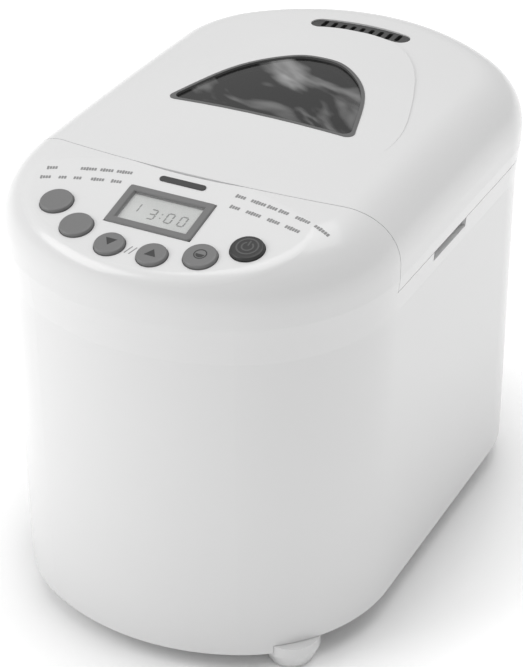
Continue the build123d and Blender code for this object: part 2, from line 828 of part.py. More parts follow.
with BuildPart() as element_clips:
    clip_spots = [(side * half, chamber_y) for side in (-1, 1)]
    with BuildSketch(Plane.XY.offset(chamber_floor_z + sheet)):
        with Locations(*clip_spots):
            Rectangle(3.0, 8.0)
    extrude(amount=element_z - element_r - chamber_floor_z - sheet)
element_clips.part.label = "element_clips"
export_step(element_clips.part, "parts/element_clips.step")

with BuildPart() as terminal_insulators:
    wall_y = chamber_y - chamber_depth / 2
    with BuildSketch(Plane.XZ.offset(-wall_y)):
        with Locations((-terminal_x, element_z), (terminal_x, element_z)):
            Circle(7.0)
            Circle(element_r, mode=Mode.SUBTRACT)
    extrude(amount=5.0)
terminal_insulators.part.label = "terminal_insulators"
export_step(terminal_insulators.part, "parts/terminal_insulators.step")

with BuildPart() as temperature_sensor:
    with BuildSketch(Plane.YZ.offset(chamber_width / 2 - 7.0)):
        with Locations((chamber_y, sensor_z)):
            Circle(sensor_r)
    extrude(amount=14.0)
    with BuildSketch(Plane.YZ.offset(chamber_width / 2)):
        with Locations((chamber_y, sensor_z)):
            RectangleRounded(20.0, 10.0, 3.0)
    extrude(amount=3.0)
temperature_sensor.part.label = "temperature_sensor"
export_step(temperature_sensor.part, "parts/temperature_sensor.step")

socket_r = 34.0
socket_height = 8.0
with BuildPart() as pan_socket:
    with BuildSketch(Plane.XY.offset(chamber_floor_z + sheet)):
        with Locations((0, chamber_y)):
            Circle(socket_r + 4.0)
            Circle(socket_r, mode=Mode.SUBTRACT)
    extrude(amount=socket_height)
pan_socket.part.label = "pan_socket"
export_step(pan_socket.part, "parts/pan_socket.step")

# ---------------------------------------------------------------- chassis and drive
chassis_top = chassis_z + chassis_thickness
with BuildPart() as chassis:
    with BuildSketch(Plane.XY.offset(chassis_z)):
        add(case_plan(14.0))
        with Locations((0, middle_y)):
            Rectangle(190.0, 310.0, mode=Mode.INTERSECT)
        with Locations((0, chamber_y)):
            Circle(14.0, mode=Mode.SUBTRACT)
        with Locations((0, motor_y)):
            Circle(9.0, mode=Mode.SUBTRACT)
    extrude(amount=chassis_thickness)
    # pressed stiffening ribs
    with BuildSketch(Plane.XY.offset(chassis_top)):
        with Locations((-50, middle_y), (50, middle_y)):
            RectangleRounded(6.0, 120.0, 2.9)
    extrude(amount=2.0)
chassis.part.label = "chassis"
export_step(chassis.part, "parts/chassis.step")

screw_head_r = 4.0
with BuildPart() as chassis_screws:
    with BuildSketch(Plane.XY.offset(chassis_top)):
        with Locations(*post_places):
            Circle(screw_head_r)
    extrude(amount=2.4)
    with BuildSketch(Plane.XY.offset(chassis_top + 1.0)):
        with Locations(*post_places):
            Rectangle(5.0, 1.0)
            Rectangle(1.0, 5.0)
    extrude(amount=1.4, mode=Mode.SUBTRACT)
chassis_screws.part.label = "chassis_screws"
export_step(chassis_screws.part, "parts/chassis_screws.step")

standoff_places = [(x * 70.0, chamber_y + y * 76.0) for y in (-1, 1) for x in (-1, 1)]
with BuildPart() as chamber_standoffs:
    with BuildSketch(Plane.XY.offset(chassis_top)):
        with Locations(*standoff_places):
            RectangleRounded(14.0, 14.0, 3.0)
            Circle(2.0, mode=Mode.SUBTRACT)
    extrude(amount=chamber_floor_z - chassis_top)
chamber_standoffs.part.label = "chamber_standoffs"
export_step(chamber_standoffs.part, "parts/chamber_standoffs.step")

bearing_top = chamber_floor_z - 0.4
bearing_outer_r = 9.0
with BuildPart() as bearing_housing:
    with BuildSketch(Plane.XY.offset(chassis_top)):
        with Locations((0, chamber_y)):
            Circle(20.0)
    extrude(amount=3.0)
    with BuildSketch(Plane.XY.offset(chassis_top - 6.0)):
        with Locations((0, chamber_y)):
            Circle(13.0)
    extrude(amount=bearing_top - chassis_top + 6.0)
    with BuildSketch(Plane.XY.offset(chassis_top - 6.0)):
        with Locations((0, chamber_y)):
            Circle(bearing_outer_r)
    extrude(amount=40.0, mode=Mode.SUBTRACT)
bearing_housing.part.label = "bearing_housing"
export_step(bearing_housing.part, "parts/bearing_housing.step")

with BuildPart() as shaft_bearings:
    for low_z in (chassis_top - 6.0, bearing_top - 7.0):
        with BuildSketch(Plane.XY.offset(low_z)):
            with Locations((0, chamber_y)):
                Circle(bearing_outer_r)
                Circle(drive_shaft_r + shaft_gap, mode=Mode.SUBTRACT)
        extrude(amount=7.0)
shaft_bearings.part.label = "shaft_bearings"
export_step(shaft_bearings.part, "parts/shaft_bearings.step")

coupler_low_z = chamber_floor_z + 0.6
lug_z = 77.5
coupler_r = 15.0
lug_height = 4.0
with BuildPart() as output_shaft:
    with BuildSketch(Plane.XY.offset(pulley_z - 6.0)):
        with Locations((0, chamber_y)):
            Circle(drive_shaft_r)
    extrude(amount=coupler_low_z - pulley_z + 6.0)
output_shaft.part.label = "output_shaft"
export_step(output_shaft.part, "parts/output_shaft.step")

with BuildPart() as drive_coupler:
    with BuildSketch(Plane.XY.offset(coupler_low_z)):
        with Locations((0, chamber_y)):
            Circle(coupler_r)
    extrude(amount=lug_z - coupler_low_z)
    with BuildSketch(Plane.XY.offset(lug_z)):
        with Locations((0, chamber_y)):
            with PolarLocations(10.0, 2):
                Rectangle(8.0, 6.0)
    extrude(amount=lug_height)
drive_coupler.part.label = "drive_coupler"
export_step(drive_coupler.part, "parts/drive_coupler.step")


def pulley(radius, bore_r, place_y, spokes):
    """A flanged belt pulley, webbed between its hub and rim when it has spokes."""
    flange = 1.5
    face = pulley_height - 2 * flange
    with BuildPart() as wheel:
        with BuildSketch(Plane.XY.offset(pulley_z)):
            with Locations((0, place_y)):
                Circle(radius + 2.5)
        extrude(amount=flange)
        with BuildSketch(Plane.XY.offset(pulley_z + flange)):
            with Locations((0, place_y)):
                Circle(radius)
        extrude(amount=face)
        with BuildSketch(Plane.XY.offset(pulley_z + flange + face)):
            with Locations((0, place_y)):
                Circle(radius + 2.5)
        extrude(amount=flange)
        if spokes:
            with BuildSketch(Plane.XY.offset(pulley_z)):
                with Locations((0, place_y)):
                    with PolarLocations(radius * 0.56, spokes):
                        Circle(radius * 0.2)
            extrude(amount=pulley_height, mode=Mode.SUBTRACT)
        with BuildSketch(Plane.XY.offset(pulley_z)):
            with Locations((0, place_y)):
                Circle(bore_r)
        extrude(amount=pulley_height, mode=Mode.SUBTRACT)
    return wheel.part


with BuildPart() as large_pulley:
    add(pulley(large_pulley_r, drive_shaft_r, chamber_y, 6))
large_pulley.part.label = "large_pulley"
export_step(large_pulley.part, "parts/large_pulley.step")

with BuildPart() as small_pulley:
    add(pulley(small_pulley_r, motor_shaft_r, motor_y, 0))
small_pulley.part.label = "small_pulley"
export_step(small_pulley.part, "parts/small_pulley.step")


def belt_loop(gap):
    """The loop that a taut belt makes round both pulleys, gap outside them."""
    big = large_pulley_r + gap
    small = small_pulley_r + gap
    span = chamber_y - motor_y
    lean = (big - small) / span
    across = sqrt(1 - lean**2)
    with BuildSketch() as loop:
        with BuildLine():
            right = Line(
                (small * across, motor_y - small * lean), (big * across, chamber_y - big * lean)
            )
            left = Line(
                (-small * across, motor_y - small * lean), (-big * across, chamber_y - big * lean)
            )
            ThreePointArc(right @ 1, (0, chamber_y + big), left @ 1)
            ThreePointArc(right @ 0, (0, motor_y - small), left @ 0)
        make_face()
    return loop.sketch


with BuildPart() as drive_belt:
    with BuildSketch(Plane.XY.offset(pulley_z + (pulley_height - belt_width) / 2)):
        add(belt_loop(belt_gap + belt_thickness))
        add(belt_loop(belt_gap), mode=Mode.SUBTRACT)
    extrude(amount=belt_width)
drive_belt.part.label = "drive_belt"
export_step(drive_belt.part, "parts/drive_belt.step")

motor_bottom = chassis_top + 0.5
motor_top = motor_bottom + motor_height
with BuildPart() as motor:
    with BuildSketch(Plane.XY.offset(motor_bottom)):
        with Locations((0, motor_y)):
            Circle(motor_r)
    extrude(amount=motor_height)
    fillet(motor.edges(), 3.0)
    with BuildSketch(Plane.XY.offset(motor_top)):
        with Locations((0, motor_y)):
            Circle(10.0)
    extrude(amount=4.0)
    with BuildSketch(Plane.XY.offset(motor_bottom)):
        with Locations((0, motor_y)):
            Circle(motor_shaft_r + shaft_gap)
    extrude(amount=motor_height + 2.0, mode=Mode.SUBTRACT)
    with BuildSketch(Plane.XY.offset(motor_bottom + 12.0)):
        with Locations((0, motor_y)):
            with PolarLocations(motor_r, 10):
                Rectangle(5.0, 4.0)
    extrude(amount=14.0, mode=Mode.SUBTRACT)
motor.part.label = "motor"
export_step(motor.part, "parts/motor.step")

mount_places = [(x * 42.0, motor_y) for x in (-1, 1)]
with BuildPart() as motor_mounts:
    with BuildSketch(Plane.XY.offset(chassis_top)):
        with Locations((0, motor_y)):
            Rectangle(96.0, 16.0)
            Circle(motor_r + 0.1, mode=Mode.SUBTRACT)
    extrude(amount=14.0)
motor_mounts.part.label = "motor_mounts"
export_step(motor_mounts.part, "parts/motor_mounts.step")

with BuildPart() as motor_screws:
    with BuildSketch(Plane.XY.offset(chassis_top + 14.0)):
        with Locations(*mount_places):
            Circle(screw_head_r)
    extrude(amount=2.4)
motor_screws.part.label = "motor_screws"
export_step(motor_screws.part, "parts/motor_screws.step")

with BuildPart() as motor_shaft:
    with BuildSketch(Plane.XY.offset(pulley_z - 4.0)):
        with Locations((0, motor_y)):
            Circle(motor_shaft_r)
    extrude(amount=motor_top - pulley_z)
motor_shaft.part.label = "motor_shaft"
export_step(motor_shaft.part, "parts/motor_shaft.step")

# ---------------------------------------------------------------- power electronics
board_y = middle_y - 92.0
board_left = 42.0
with BuildPart() as power_board:
    with BuildSketch(Plane.XZ.offset(-board_y)):
        with Locations((board_left + 28.0, chassis_top + 38.0)):
            Rectangle(56.0, 76.0)
    extrude(amount=1.6)
power_board.part.label = "power_board"
export_step(power_board.part, "parts/power_board.step")

with BuildPart() as transformer:
    with BuildSketch(Plane.XZ.offset(-(board_y - 1.6))):
        with Locations((board_left + 26.0, chassis_top + 22.0)):
            Rectangle(40.0, 34.0)
    extrude(amount=24.0)
    with BuildSketch(Plane.XZ.offset(-(board_y - 7.6))):
        with Locations((board_left + 26.0, chassis_top + 22.0)):
            Rectangle(34.0, 40.0)
    extrude(amount=14.0)
transformer.part.label = "transformer"
export_step(transformer.part, "parts/transformer.step")

with BuildPart() as board_components:
    with BuildSketch(Plane.XZ.offset(-(board_y - 1.6))):
        with Locations((board_left + 14.0, chassis_top + 60.0)):
            Rectangle(18.0, 14.0)
        with Locations((board_left + 36.0, chassis_top + 60.0)):
            Circle(6.0)
    extrude(amount=15.0)
board_components.part.label = "board_components"
export_step(board_components.part, "parts/board_components.step")

gland_length = 12.0
with BuildPart() as cord_gland:
    gland_y = rear_arc_y + sqrt((rear_arc_r - body_inset) ** 2 - gland_x**2)
    with BuildSketch(Plane.XZ.offset(-(gland_y + 3.0))):
        with Locations((gland_x, gland_z)):
            Circle(gland_r)
    extrude(amount=gland_length)
    with BuildSketch(Plane.XZ.offset(-(gland_y + 3.0))):
        with Locations((gland_x, gland_z)):
            Circle(3.75)
    extrude(amount=gland_length, mode=Mode.SUBTRACT)
cord_gland.part.label = "cord_gland"
export_step(cord_gland.part, "parts/cord_gland.step")

# ---------------------------------------------------------------- bread pan
pan_lip = 3.0
ear_height = 8.0
ear_thickness = 2.0
handle_r = 2.5
handle_z = pan_rim_z + 3.6
handle_y = chamber_y
with BuildPart() as bread_pan:
    add(tub(pan_width, pan_depth, pan_corner_r, pan_floor_z, pan_rim_z, pan_wall, pan_lip))
    with BuildSketch(Plane.XY.offset(pan_floor_z)):
        with Locations((0, chamber_y)):
            Circle(9.0)
    extrude(amount=pan_wall, mode=Mode.SUBTRACT)
    # ring on the pan's underside that drops into the socket
    with BuildSketch(Plane.XY.offset(pan_floor_z - 8.0)):
        with Locations((0, chamber_y)):
            Circle(socket_r - 0.6)
            Circle(socket_r - 3.0, mode=Mode.SUBTRACT)
    extrude(amount=8.0)
    # two ears that hold the bail
    for ear_x in (-pan_width / 2 - pan_lip, pan_width / 2 + pan_lip - ear_thickness):
        with BuildSketch(Plane.YZ.offset(ear_x)):
            with Locations((handle_y, pan_rim_z + ear_height / 2 - 1.0)):
                RectangleRounded(18.0, ear_height + 2.0, 3.0)
        extrude(amount=ear_thickness)
        with BuildSketch(Plane.YZ.offset(ear_x)):
            with Locations((handle_y, handle_z)):
                Circle(handle_r + shaft_gap)
        extrude(amount=ear_thickness, mode=Mode.SUBTRACT)
bread_pan.part.label = "bread_pan"
export_step(bread_pan.part, "parts/bread_pan.step")

handle_half = pan_width / 2 - 4.0
handle_reach = 62.0
with BuildPart() as pan_handle:
    end_x = pan_width / 2 + pan_lip + 1.5
    with BuildLine():
        FilletPolyline(
            (-end_x, handle_y, handle_z),
            (-handle_half, handle_y, handle_z),
            (-handle_half, handle_y - handle_reach, handle_z),
            (handle_half, handle_y - handle_reach, handle_z),
            (handle_half, handle_y, handle_z),
            (end_x, handle_y, handle_z),
            radius=[3.5, 22.0, 22.0, 3.5],
        )
    with BuildSketch(Plane.YZ.offset(-end_x)):
        with Locations((handle_y, handle_z)):
            Circle(handle_r)
    sweep()
pan_handle.part.label = "pan_handle"
export_step(pan_handle.part, "parts/pan_handle.step")

pan_shaft_r = 4.0
pan_shaft_top = pan_floor_z + 24.0
upper_coupler_z = lug_z + lug_height + 0.4
with BuildPart() as shaft_bush:
    with BuildSketch(Plane.XY.offset(pan_floor_z)):
        with Locations((0, chamber_y)):
            Circle(9.0)
            Circle(pan_shaft_r + shaft_gap, mode=Mode.SUBTRACT)
    extrude(amount=pan_wall + 4.0)
shaft_bush.part.label = "shaft_bush"
export_step(shaft_bush.part, "parts/shaft_bush.step")

with BuildPart() as pan_shaft:
    with BuildSketch(Plane.XY.offset(upper_coupler_z)):
        with Locations((0, chamber_y)):
            Circle(pan_shaft_r)
    extrude(amount=pan_shaft_top - upper_coupler_z)
pan_shaft.part.label = "pan_shaft"
export_step(pan_shaft.part, "parts/pan_shaft.step")

with BuildPart() as pan_coupler:
    with BuildSketch(Plane.XY.offset(upper_coupler_z)):
        with Locations((0, chamber_y)):
            Circle(coupler_r)
            Circle(pan_shaft_r, mode=Mode.SUBTRACT)
    extrude(amount=pan_floor_z - 0.4 - upper_coupler_z)
    with BuildSketch(Plane.XY.offset(lug_z + 0.4)):
        with Locations((0, chamber_y)):
            with PolarLocations(10.0, 2, start_angle=90):
                Rectangle(8.0, 6.0)
    extrude(amount=lug_height)
pan_coupler.part.label = "pan_coupler"
export_step(pan_coupler.part, "parts/pan_coupler.step")

paddle_z = pan_floor_z + pan_wall + 4.4
paddle_reach = 44.0
with BuildPart() as kneading_paddle:
    with BuildSketch(Plane.XY.offset(paddle_z)):
        with Locations((0, chamber_y)):
            Circle(9.5)
    extrude(amount=pan_shaft_top + 3.0 - paddle_z, taper=4.0)
    # the blade stands on one side of the hub and leans over its sweep
    with BuildSketch(Plane.YZ.offset(5.0)) as root:
        with Locations((chamber_y, paddle_z + 16.0)):
            RectangleRounded(5.0, 32.0, 2.4)
    with BuildSketch(Plane.YZ.offset(paddle_reach)) as tip:
        with Locations((chamber_y, paddle_z + 9.0)):
            RectangleRounded(3.6, 18.0, 1.7)
    loft()
    with BuildSketch(Plane.XY.offset(paddle_z)):
        with Locations((0, chamber_y)):
            Circle(pan_shaft_r)
    extrude(amount=pan_shaft_top - paddle_z, mode=Mode.SUBTRACT)
kneading_paddle.part.label = "kneading_paddle"
export_step(kneading_paddle.part, "parts/kneading_paddle.step")
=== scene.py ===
import bpy
import bmesh
import json
import math
from mathutils import Matrix, Vector
from mathutils.bvhtree import BVHTree


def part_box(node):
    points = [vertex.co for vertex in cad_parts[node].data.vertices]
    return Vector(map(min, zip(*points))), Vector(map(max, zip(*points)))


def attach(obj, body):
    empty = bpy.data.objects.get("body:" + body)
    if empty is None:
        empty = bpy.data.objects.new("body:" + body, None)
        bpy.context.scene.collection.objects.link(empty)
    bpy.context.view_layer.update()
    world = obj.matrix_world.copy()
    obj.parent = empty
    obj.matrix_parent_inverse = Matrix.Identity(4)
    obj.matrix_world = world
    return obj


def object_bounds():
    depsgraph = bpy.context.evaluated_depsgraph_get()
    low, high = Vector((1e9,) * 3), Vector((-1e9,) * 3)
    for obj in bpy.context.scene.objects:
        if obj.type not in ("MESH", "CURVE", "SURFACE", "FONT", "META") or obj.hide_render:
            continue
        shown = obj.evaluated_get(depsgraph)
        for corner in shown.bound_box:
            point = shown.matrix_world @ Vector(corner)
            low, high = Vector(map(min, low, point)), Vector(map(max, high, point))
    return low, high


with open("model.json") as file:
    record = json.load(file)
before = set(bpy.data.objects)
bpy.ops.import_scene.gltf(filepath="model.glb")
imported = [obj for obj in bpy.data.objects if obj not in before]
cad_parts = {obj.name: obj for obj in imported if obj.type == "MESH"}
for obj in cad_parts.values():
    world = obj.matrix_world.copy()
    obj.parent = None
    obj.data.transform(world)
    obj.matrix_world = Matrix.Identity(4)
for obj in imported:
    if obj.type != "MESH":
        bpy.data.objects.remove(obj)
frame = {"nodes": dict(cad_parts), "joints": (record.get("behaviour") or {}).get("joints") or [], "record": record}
cad_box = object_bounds()
nodes = frame["nodes"]
scene = bpy.context.scene
MM = 0.001
SHARP_ANGLE = math.radians(32)

# ------------------------------------------------------------------ camera
CAMERA_AZIMUTH = math.radians(27.76)
CAMERA_ELEVATION = math.radians(31.92)
CAMERA_ROLL = math.radians(-0.46)
CAMERA_AIM = Vector((-0.0337, 0.0484, 0.0870))
CAMERA_DISTANCE = 1.3814
CAMERA_LENS = 112.6
SENSOR_HEIGHT = 36.0
NEAR_CLIP = 0.01


def make_camera():
    """The camera, turned by its azimuth, elevation and roll about the aim."""
    back = Vector(
        (
            math.sin(CAMERA_AZIMUTH) * math.cos(CAMERA_ELEVATION),
            -math.cos(CAMERA_AZIMUTH) * math.cos(CAMERA_ELEVATION),
            math.sin(CAMERA_ELEVATION),
        )
    )
    level_right = Vector((0, 0, 1)).cross(back).normalized()
    level_up = back.cross(level_right)
    right = math.cos(CAMERA_ROLL) * level_right + math.sin(CAMERA_ROLL) * level_up
    up = back.cross(right)
    data = bpy.data.cameras.new("camera")
    data.sensor_fit = "VERTICAL"
    data.sensor_height = SENSOR_HEIGHT
    data.lens = CAMERA_LENS
    data.clip_start = NEAR_CLIP
    camera = bpy.data.objects.new("camera", data)
    scene.collection.objects.link(camera)
    turn = Matrix((right, up, back)).transposed().to_4x4()
    camera.matrix_world = Matrix.Translation(CAMERA_AIM + CAMERA_DISTANCE * back) @ turn
    scene.camera = camera


# ------------------------------------------------------------------ lights
WORLD_STRENGTH = 0.56
LIGHT_AIM = (0, 0, 0.1)


def area_light(name, place, side, power):
    """A square soft light that points at the machine."""
    data = bpy.data.lights.new(name, "AREA")
    data.shape = "SQUARE"
    data.size = side
    data.energy = power
    light = bpy.data.objects.new(name, data)
    light.location = place
    light.rotation_euler = (Vector(place) - Vector(LIGHT_AIM)).to_track_quat("Z", "Y").to_euler()
    scene.collection.objects.link(light)


def make_lights():
    """An even white world, a soft key from the left front and a soft light from above."""
    world = bpy.data.worlds.new("studio")
    world.use_nodes = True
    world.node_tree.nodes["Background"].inputs["Color"].default_value = (1, 1, 1, 1)
    world.node_tree.nodes["Background"].inputs["Strength"].default_value = WORLD_STRENGTH
    scene.world = world
    area_light("key_left", place=(-1.6, -1.2, 1.6), side=1.6, power=25)
    area_light("top_soft", place=(0.2, 0.4, 2.2), side=1.8, power=22)
    scene.view_settings.view_transform = "Standard"


# ------------------------------------------------------------------ materials
# depths of the relief, and the direction and size of the streaks of painted reflection in the glass, in metres
GRAIN_DEPTH = 0.0004
BRUSHING_DEPTH = 0.0003
WAVE_DEPTH = 0.001
REFLECTION_STREAK_TURN = math.radians(-32)
REFLECTION_STREAK_SIZE = (0.07, 0.026, 0.07)


def new_material(name):
    """A material with its node tree and its shader."""
    material = bpy.data.materials.new(name)
    material.use_nodes = True
    return material, material.node_tree, material.node_tree.nodes["Principled BSDF"]


def add_node(tree, kind, **inputs):
    """A shader node with the given inputs, named with _ for each space."""
    node = tree.nodes.new(kind)
    for key, value in inputs.items():
        node.inputs[key.replace("_", " ")].default_value = value
    return node


def paint(tree, shader, texture, dark, light, span=(0.0, 1.0)):
    """Colours the surface from dark to light over a span of the texture's values."""
    colour = tree.nodes.new("ShaderNodeValToRGB")
    for stop, tone, position in zip(colour.color_ramp.elements, (dark, light), span):
        stop.position = position
        stop.color = list(tone) + [1]
    tree.links.new(texture.outputs["Fac"], colour.inputs["Fac"])
    tree.links.new(colour.outputs["Color"], shader.inputs["Base Color"])


def vary_gloss(tree, shader, texture, smoothest, roughest):
    """Varies the roughness with the texture."""
    gloss = add_node(tree, "ShaderNodeMapRange", To_Min=smoothest, To_Max=roughest)
    tree.links.new(texture.outputs["Fac"], gloss.inputs["Value"])
    tree.links.new(gloss.outputs["Result"], shader.inputs["Roughness"])


def emboss(tree, shader, texture, strength, depth):
    """Raises the surface a little where the texture is bright."""
    relief = add_node(tree, "ShaderNodeBump", Strength=strength, Distance=depth)
    tree.links.new(texture.outputs["Fac"], relief.inputs["Height"])
    tree.links.new(relief.outputs["Normal"], shader.inputs["Normal"])


def moulded(name, tone, roughness, grain=900.0, bump=0.02, spread=0.03, coat=0.0, specular=0.5):
    """Moulded plastic or rubber: slight tone and gloss variation and a fine moulded grain."""
    material, tree, shader = new_material(name)
    place = tree.nodes.new("ShaderNodeTexCoord")
    broad = add_node(tree, "ShaderNodeTexNoise", Scale=9.0, Detail=3.0, Roughness=0.5)
    fine = add_node(tree, "ShaderNodeTexNoise", Scale=grain, Detail=2.0, Roughness=0.6)
    for texture in (broad, fine):
        tree.links.new(place.outputs["Object"], texture.inputs["Vector"])
    dark = [c * (1 - spread) for c in tone]
    light = [min(1.0, c * (1 + spread)) for c in tone]
    paint(tree, shader, broad, dark, light, span=(0.3, 0.7))
    vary_gloss(tree, shader, broad, roughness * 0.88, roughness * 1.12)
    emboss(tree, shader, fine, bump, GRAIN_DEPTH)
    shader.inputs["Coat Weight"].default_value = coat
    shader.inputs["Coat Roughness"].default_value = 0.08
    shader.inputs["Specular IOR Level"].default_value = specular
    return material


def brushed(name, tone, roughness, stretch=(1.0, 60.0, 1.0), scale=40.0, bump=0.05):
    """Metal with fine brushing along one direction."""
    material, tree, shader = new_material(name)
    place = tree.nodes.new("ShaderNodeTexCoord")
    mapping = tree.nodes.new("ShaderNodeMapping")
    mapping.inputs["Scale"].default_value = stretch
    tree.links.new(place.outputs["Object"], mapping.inputs["Vector"])
    lines = add_node(tree, "ShaderNodeTexNoise", Scale=scale, Detail=4.0, Roughness=0.65)
    tree.links.new(mapping.outputs["Vector"], lines.inputs["Vector"])
    paint(tree, shader, lines, [c * 0.86 for c in tone], [min(1.0, c * 1.1) for c in tone])
    vary_gloss(tree, shader, lines, roughness * 0.8, roughness * 1.25)
    emboss(tree, shader, lines, bump, BRUSHING_DEPTH)
    shader.inputs["Metallic"].default_value = 1.0
    return material


def tinted_glass(name, tone, alpha, roughness, reflection_tone):
    """Glossy see-through plastic, faintly wavy, with slanted streaks of a lighter tone painted in its colour:
    painted reflections.
    """
    material, tree, shader = new_material(name)
    place = tree.nodes.new("ShaderNodeTexCoord")
    mapping = tree.nodes.new("ShaderNodeMapping")
    mapping.vector_type = "TEXTURE"
    mapping.inputs["Rotation"].default_value = (0, 0, REFLECTION_STREAK_TURN)
    mapping.inputs["Scale"].default_value = REFLECTION_STREAK_SIZE
    tree.links.new(place.outputs["Object"], mapping.inputs["Vector"])
    waves_and_reflections = add_node(tree, "ShaderNodeTexNoise", Scale=1.0, Detail=2.5, Roughness=0.55, Distortion=0.6)
    tree.links.new(mapping.outputs["Vector"], waves_and_reflections.inputs["Vector"])
    # painted reflections: slanted streaks of a lighter tone in the glass's colour
    paint(tree, shader, waves_and_reflections, [c * 0.85 for c in tone], reflection_tone, span=(0.5, 0.74))
    emboss(tree, shader, waves_and_reflections, 0.05, WAVE_DEPTH)
    shader.inputs["Roughness"].default_value = roughness
    shader.inputs["Alpha"].default_value = alpha
    return material


def make_materials():
    """Every material by name: one for each of the record's slots, and those of the added pieces."""
    tones = {
        "casing_white": moulded(
            "casing_white", (0.65, 0.65, 0.65), 0.30, bump=0.012, spread=0.008, coat=0.35
        ),
        "button_grey": moulded("button_grey", (0.155, 0.155, 0.155), 0.42, bump=0.03),
        "button_dark": moulded("button_dark", (0.022, 0.022, 0.022), 0.4, bump=0.03),
        "bezel_grey": moulded("bezel_grey", (0.15, 0.15, 0.15), 0.4, bump=0.03),
        "lcd": moulded("lcd", (0.52, 0.53, 0.52), 0.3, bump=0.0, spread=0.02),
        # the last tone of each glass is the tone of its painted reflections
        "clear_window": tinted_glass("clear_window", (0.8, 0.8, 0.8), 0.12, 0.05, (0.92, 0.92, 0.92)),
        "smoked_glass": tinted_glass(
            "smoked_glass", (0.012, 0.012, 0.012), 0.92, 0.12, (0.3, 0.3, 0.3)
        ),
        "dark_trim": moulded("dark_trim", (0.035, 0.035, 0.035), 0.4, bump=0.04),
        "rim_grey": moulded("rim_grey", (0.10, 0.10, 0.10), 0.35, bump=0.02),
        "rubber_black": moulded("rubber_black", (0.02, 0.02, 0.02), 0.75, bump=0.12, grain=1500.0),
        "silicone_grey": moulded("silicone_grey", (0.36, 0.36, 0.36), 0.6, bump=0.05),
        "board_green": moulded("board_green", (0.012, 0.09, 0.03), 0.35, bump=0.05, spread=0.15),
        "component_dark": moulded("component_dark", (0.02, 0.02, 0.022), 0.45),
        "aluminium_sheet": brushed("aluminium_sheet", (0.78, 0.78, 0.78), 0.3),
        "steel": brushed("steel", (0.58, 0.58, 0.58), 0.34),
        "bronze": brushed("bronze", (0.5, 0.34, 0.16), 0.45),
        "element_dark": brushed("element_dark", (0.13, 0.12, 0.115), 0.5),
        "ceramic": moulded("ceramic", (0.78, 0.75, 0.68), 0.55, bump=0.08),
        "nonstick": moulded("nonstick", (0.035, 0.035, 0.036), 0.38, bump=0.08, grain=1300.0),
        "coupler_grey": brushed("coupler_grey", (0.33, 0.33, 0.34), 0.5),
        "pulley_plastic": moulded("pulley_plastic", (0.62, 0.58, 0.5), 0.45),
        "motor_steel": brushed("motor_steel", (0.42, 0.43, 0.44), 0.36),
        "print_grey": moulded("print_grey", (0.23, 0.23, 0.23), 0.5, bump=0.0),
        "start_ink": moulded("start_ink", (0.075, 0.075, 0.075), 0.5, bump=0.0),
        # painted light: the seam strip is lighter than the casing so the lid gap shows no shade
        "strip_painted_light": moulded("strip_painted_light", (0.82, 0.82, 0.82), 0.5, bump=0.01),
        "mark_dark": moulded("mark_dark", (0.03, 0.03, 0.03), 0.5, bump=0.0),
        "display_ink": moulded("display_ink", (0.17, 0.175, 0.17), 0.5, bump=0.0),
        "transformer_core": moulded("transformer_core", (0.05, 0.05, 0.055), 0.4, bump=0.15),
    }
    return tones


def dress_cad_nodes(tones):
    """Gives each CAD node its slot's material, and smooth shading up to SHARP_ANGLE."""
    slot_of = {s["node"]: s["material_slot"] for s in frame["record"]["subparts"]}
    for name, node in nodes.items():
        node.data.materials.clear()
        node.data.materials.append(tones[slot_of[name]])
        node.data.shade_smooth()
        node.data.set_sharp_from_angle(angle=SHARP_ANGLE)


# ------------------------------------------------------------------ floor
FLOOR_HALF_SIDE = 6.0
# painted light: the floor's glow is nought inside an ellipse round the machine and grows outwards, which leaves a
# painted shade round it
GLOW_ACROSS, GLOW_ALONG = 0.36, 0.44
GLOW_STARTS, GLOW_FULL, GLOW_STRENGTH = 0.38, 0.74, 0.34


def make_floor():
    """A wide pale floor that glows away from the machine: painted light."""
    material, tree, shader = new_material("floor_pale_painted_glow")
    shader.inputs["Base Color"].default_value = (0.95, 0.95, 0.95, 1)
    shader.inputs["Roughness"].default_value = 0.55
    # painted light: a glow away from the machine keeps the floor white around its contact shadow
    place = tree.nodes.new("ShaderNodeTexCoord")
    mapping = tree.nodes.new("ShaderNodeMapping")
    mapping.inputs["Scale"].default_value = (1 / GLOW_ACROSS, 1 / GLOW_ALONG, 1)
    tree.links.new(place.outputs["Object"], mapping.inputs["Vector"])
    distance = tree.nodes.new("ShaderNodeVectorMath")
    distance.operation = "LENGTH"
    tree.links.new(mapping.outputs["Vector"], distance.inputs[0])
    glow = add_node(
        tree,
        "ShaderNodeMapRange",
        From_Min=GLOW_STARTS,
        From_Max=GLOW_FULL,
        To_Max=GLOW_STRENGTH,
    )
    tree.links.new(distance.outputs["Value"], glow.inputs["Value"])
    tree.links.new(glow.outputs["Result"], shader.inputs["Emission Strength"])
    shader.inputs["Emission Color"].default_value = (1, 1, 1, 1)
    mesh = bpy.data.meshes.new("floor")
    half = FLOOR_HALF_SIDE
    mesh.from_pydata(
        [(-half, -half, 0), (half, -half, 0), (half, half, 0), (-half, half, 0)],
        [],
        [(0, 1, 2, 3)],
    )
    floor = bpy.data.objects.new("floor", mesh)
    floor.data.materials.append(material)
    scene.collection.objects.link(floor)


# ------------------------------------------------------------------ panel graphics
def panel_frame():
    """The panel's middle and its across, up-slope and outward directions."""
    press = next(j for j in frame["joints"] if j["name"] == "menu_button_press")
    outward = -Vector(press["axis"]).normalized()
    across = Vector((1, 0, 0))
    up_slope = outward.cross(across)
    low, high = (Vector(corner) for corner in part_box("lcd_frame"))
    middle = (low + high) / 2
    plane = max(outward.dot(v.co) for v in nodes["control_panel"].data.vertices)
    middle += (plane - outward.dot(middle)) * outward
    return middle, across, up_slope, outward


